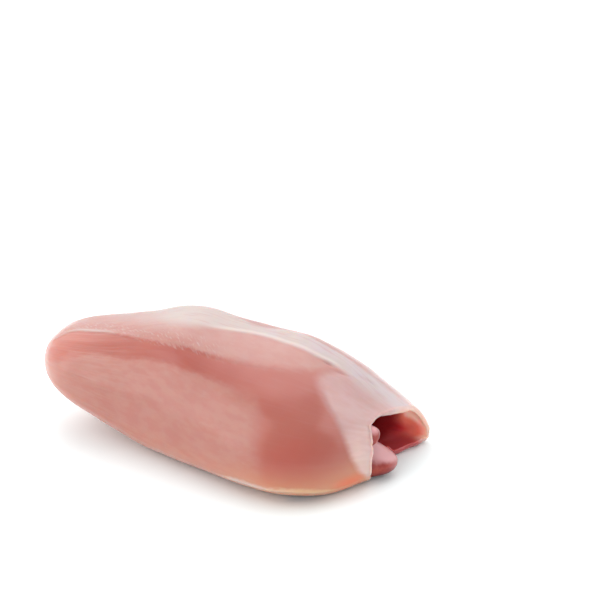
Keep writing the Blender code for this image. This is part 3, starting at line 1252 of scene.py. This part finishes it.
@dataclass(frozen=True)
class LobeFinish:
    """Smooth inner muscle, glossy on top, with painted light and shade: pale on top where light falls, and
    dark red low down and near the table.
    """

    name: str = "inner_muscle"
    # top: painted light, the lobe's top paler where light falls on it; also the fibres' colour
    top: Colour = (0.57, 0.265, 0.275)
    front_dark: Colour = (0.24, 0.022, 0.02)
    front_light: Colour = (0.42, 0.07, 0.045)
    # low: painted shade, low on the lobe and where it meets the table
    low: Colour = (0.10, 0.008, 0.013)

    def material(self, muscle: RawMuscle) -> bpy.types.Material:
        """The finish as a material.

        Args:
            muscle: the node group of raw muscle.

        Returns:
            The material.
        """
        material = bpy.data.materials.new(self.name)
        material.use_nodes = True
        r = Recipe(material.node_tree)
        objects = r.add("ShaderNodeTexCoord").outputs["Object"]
        look = muscle.place(
            r,
            place=objects,
            grain=r.stretched(objects, (90.0, 700.0, 700.0)),
            blotch_scale=210.0,
            dark=self.front_dark,
            light=self.front_light,
            fibre=self.top,
            fibre_strength=0.2,
            gloss_low=0.3,
            gloss_high=0.42,
        )
        crown = r.add("ShaderNodeAttribute", attribute_name="crown").outputs["Fac"]
        crown = r.plus(crown, r.times(r.minus(look["Blotches"], 0.5), 0.9))
        # painted shade on the lobe's underside and painted light on its top, by how far up round the lobe
        # the surface is
        colour = r.mix(r.step(crown, -0.9, -0.25), self.low, look["Colour"])
        colour = r.mix(r.step(crown, 0.05, 0.5), colour, self.top)
        # paler toward the lower lobe's tip, in the same pale top colour
        colour = r.mix(r.step(r.part(objects, 0), 0.0518, 0.0548, 0.0, 0.45), colour, self.top)
        # painted shade where the lobe meets the table
        colour = r.mix(r.step(r.part(objects, 2), 0.0045, 0.0005, 0.0, 0.7), colour, self.low)

        bump = r.add("ShaderNodeBump")
        r.feed(bump.inputs["Height"], look["Height"])
        r.feed(bump.inputs["Strength"], 0.3)
        r.feed(bump.inputs["Distance"], 0.0003)

        shader = r.add("ShaderNodeBsdfPrincipled")
        r.feed(shader.inputs["Base Color"], colour)
        r.feed(shader.inputs["Roughness"], look["Roughness"])
        r.feed(shader.inputs["Specular IOR Level"], 0.15)
        r.feed(shader.inputs["Subsurface Weight"], 0.3)
        r.feed(shader.inputs["Subsurface Radius"], (1.0, 0.35, 0.25))
        r.feed(shader.inputs["Subsurface Scale"], 1.5 * MM)
        r.feed(shader.inputs["Coat Weight"], r.step(crown, -0.6, 0.6, 0.15, 0.6))
        r.feed(shader.inputs["Coat Roughness"], 0.15)
        r.feed(shader.inputs["Normal"], bump.outputs[0])
        r.feed(r.add("ShaderNodeOutputMaterial").inputs["Surface"], shader.outputs[0])
        return material


def toward(azimuth: float, elevation: float) -> Vector:
    """The direction, one metre long, at an azimuth from +Y toward +X and a height, both in degrees."""
    a, e = math.radians(azimuth), math.radians(elevation)
    return Vector((math.sin(a) * math.cos(e), math.cos(a) * math.cos(e), math.sin(e)))


@dataclass(frozen=True)
class Softbox:
    """A soft light that faces the meat, in layers of growing size, so that its edge fades."""

    name: str
    azimuth: float
    elevation: float
    width: float
    height: float
    glow: float
    layers: int
    gloss_only: bool = False
    growth: float = 0.2
    gap: float = 0.01

    def hang(self) -> None:
        """Hang the layers from a metre away outward, and share the glow among them."""
        away = toward(self.azimuth, self.elevation)
        for k in range(self.layers):
            grown = 1.0 + self.growth * (k - 0.5 * (self.layers - 1))
            light = bpy.data.lights.new(f"{self.name}_{k}", "AREA")
            light.shape = "RECTANGLE"
            light.size = self.width * grown
            light.size_y = self.height * 0.5 * (1.0 + grown)
            light.energy = self.glow / self.layers * math.pi * light.size * light.size_y
            obj = bpy.data.objects.new(light.name, light)
            obj.location = away * (1.0 + self.gap * k)
            obj.rotation_mode = "QUATERNION"
            obj.rotation_quaternion = away.to_track_quat("Z", "Y")
            obj.visible_camera = False
            obj.visible_diffuse = not self.gloss_only
            bpy.context.scene.collection.objects.link(obj)


@dataclass
class Studio:
    """A plain pale floor, soft lights and the camera."""

    floor_size: float = 8.0
    floor_gap: float = 0.0002
    floor_colour: Colour = (0.92, 0.98, 0.985)
    key_azimuth: float = -15.0
    key_elevation: float = 58.0
    key_widths: tuple[float, ...] = (42.0, 58.0, 74.0, 90.0)
    key_strength: float = 0.3
    boxes: tuple[Softbox, ...] = (
        Softbox("front_left_box", -127.0, 27.0, 0.65, 1.35, 1.8, 4),
        Softbox("right_box", 68.0, 30.0, 0.8, 1.0, 1.9, 3, gloss_only=True),
    )
    camera_place: tuple[float, float, float] = (0.10248, -0.29194, 0.163)
    camera_azimuth: float = 15.0
    camera_pitch: float = 20.5
    camera_lens: float = 68.1

    def floor(self) -> bpy.types.Object:
        """Lay the floor, just under the meat.

        Returns:
            The floor.
        """
        bm = bmesh.new()
        bmesh.ops.create_grid(bm, x_segments=1, y_segments=1, size=self.floor_size / 2)
        bmesh.ops.translate(bm, verts=bm.verts, vec=(0.0, 0.0, -self.floor_gap))
        obj = finished("floor", bm)
        material = bpy.data.materials.new("pale_floor")
        material.use_nodes = True
        shader = material.node_tree.nodes["Principled BSDF"]
        shader.inputs["Base Color"].default_value = (*self.floor_colour, 1.0)
        shader.inputs["Roughness"].default_value = 0.8
        shader.inputs["Specular IOR Level"].default_value = 0.2
        obj.data.materials.append(material)
        return obj

    def lights(self) -> None:
        """Shine the key from above and behind, in suns of growing width, and hang the boxes."""
        for width in self.key_widths:
            sun = bpy.data.lights.new(f"key_{width:.0f}", "SUN")
            sun.energy = self.key_strength
            sun.angle = math.radians(width)
            key = bpy.data.objects.new(sun.name, sun)
            key.rotation_mode = "QUATERNION"
            key.rotation_quaternion = toward(self.key_azimuth, self.key_elevation).to_track_quat("Z", "Y")
            bpy.context.scene.collection.objects.link(key)
        for box in self.boxes:
            box.hang()
        world = bpy.data.worlds.new("studio")
        world.use_nodes = True
        r = Recipe(world.node_tree)
        background = r.add("ShaderNodeBackground")
        r.feed(background.inputs["Color"], (1.0, 1.0, 1.0))
        r.feed(r.add("ShaderNodeOutputWorld").inputs["Surface"], background.outputs[0])
        bpy.context.scene.world = world

    def camera(self) -> None:
        """The camera, at the photograph's viewing angle."""
        data = bpy.data.cameras.new("camera")
        data.lens = self.camera_lens
        data.clip_start = 0.01
        obj = bpy.data.objects.new("camera", data)
        obj.location = self.camera_place
        back = toward(180.0 - self.camera_azimuth, self.camera_pitch)
        obj.rotation_mode = "QUATERNION"
        obj.rotation_quaternion = (-back).to_track_quat("-Z", "Y")
        bpy.context.scene.collection.objects.link(obj)
        bpy.context.scene.camera = obj
        bpy.context.scene.view_settings.view_transform = "Standard"


def settle(piece: bpy.types.Object, material: bpy.types.Material) -> None:
    """Dress a piece, put it on the meat's body and let it stand for the solid.

    Args:
        piece: the finished piece.
        material: its finish.
    """
    piece.data.materials.append(material)
    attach(piece, BODY)
    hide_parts(NODE)
    LOG.info("%s: %d faces", piece.name, len(piece.data.polygons))


def main() -> None:
    """Build the studio, then the meat and its lobes, and note the sizes."""
    logging.basicConfig(level=logging.INFO, format="%(message)s")
    studio = Studio()
    studio.floor()
    studio.lights()
    studio.camera()
    muscle = RawMuscle()
    settle(MeatFold().build(), MeatFinish().material(muscle))
    inner = LobeFinish().material(muscle)
    for lobe in (
        InnerLobe("lower_lobe", (20.0, -14.0, 6.0), (51.6, -6.0, 4.4), 11.8, 13.6, 2.5, 0.45, 0.6, 0.76),
        InnerLobe("upper_lobe", (26.0, -14.5, 11.5), (47.0, -10.2, 14.4), 7.2, 8.6, 2.4),
    ):
        settle(lobe.build(), inner)


if __name__ == "__main__":
    main()
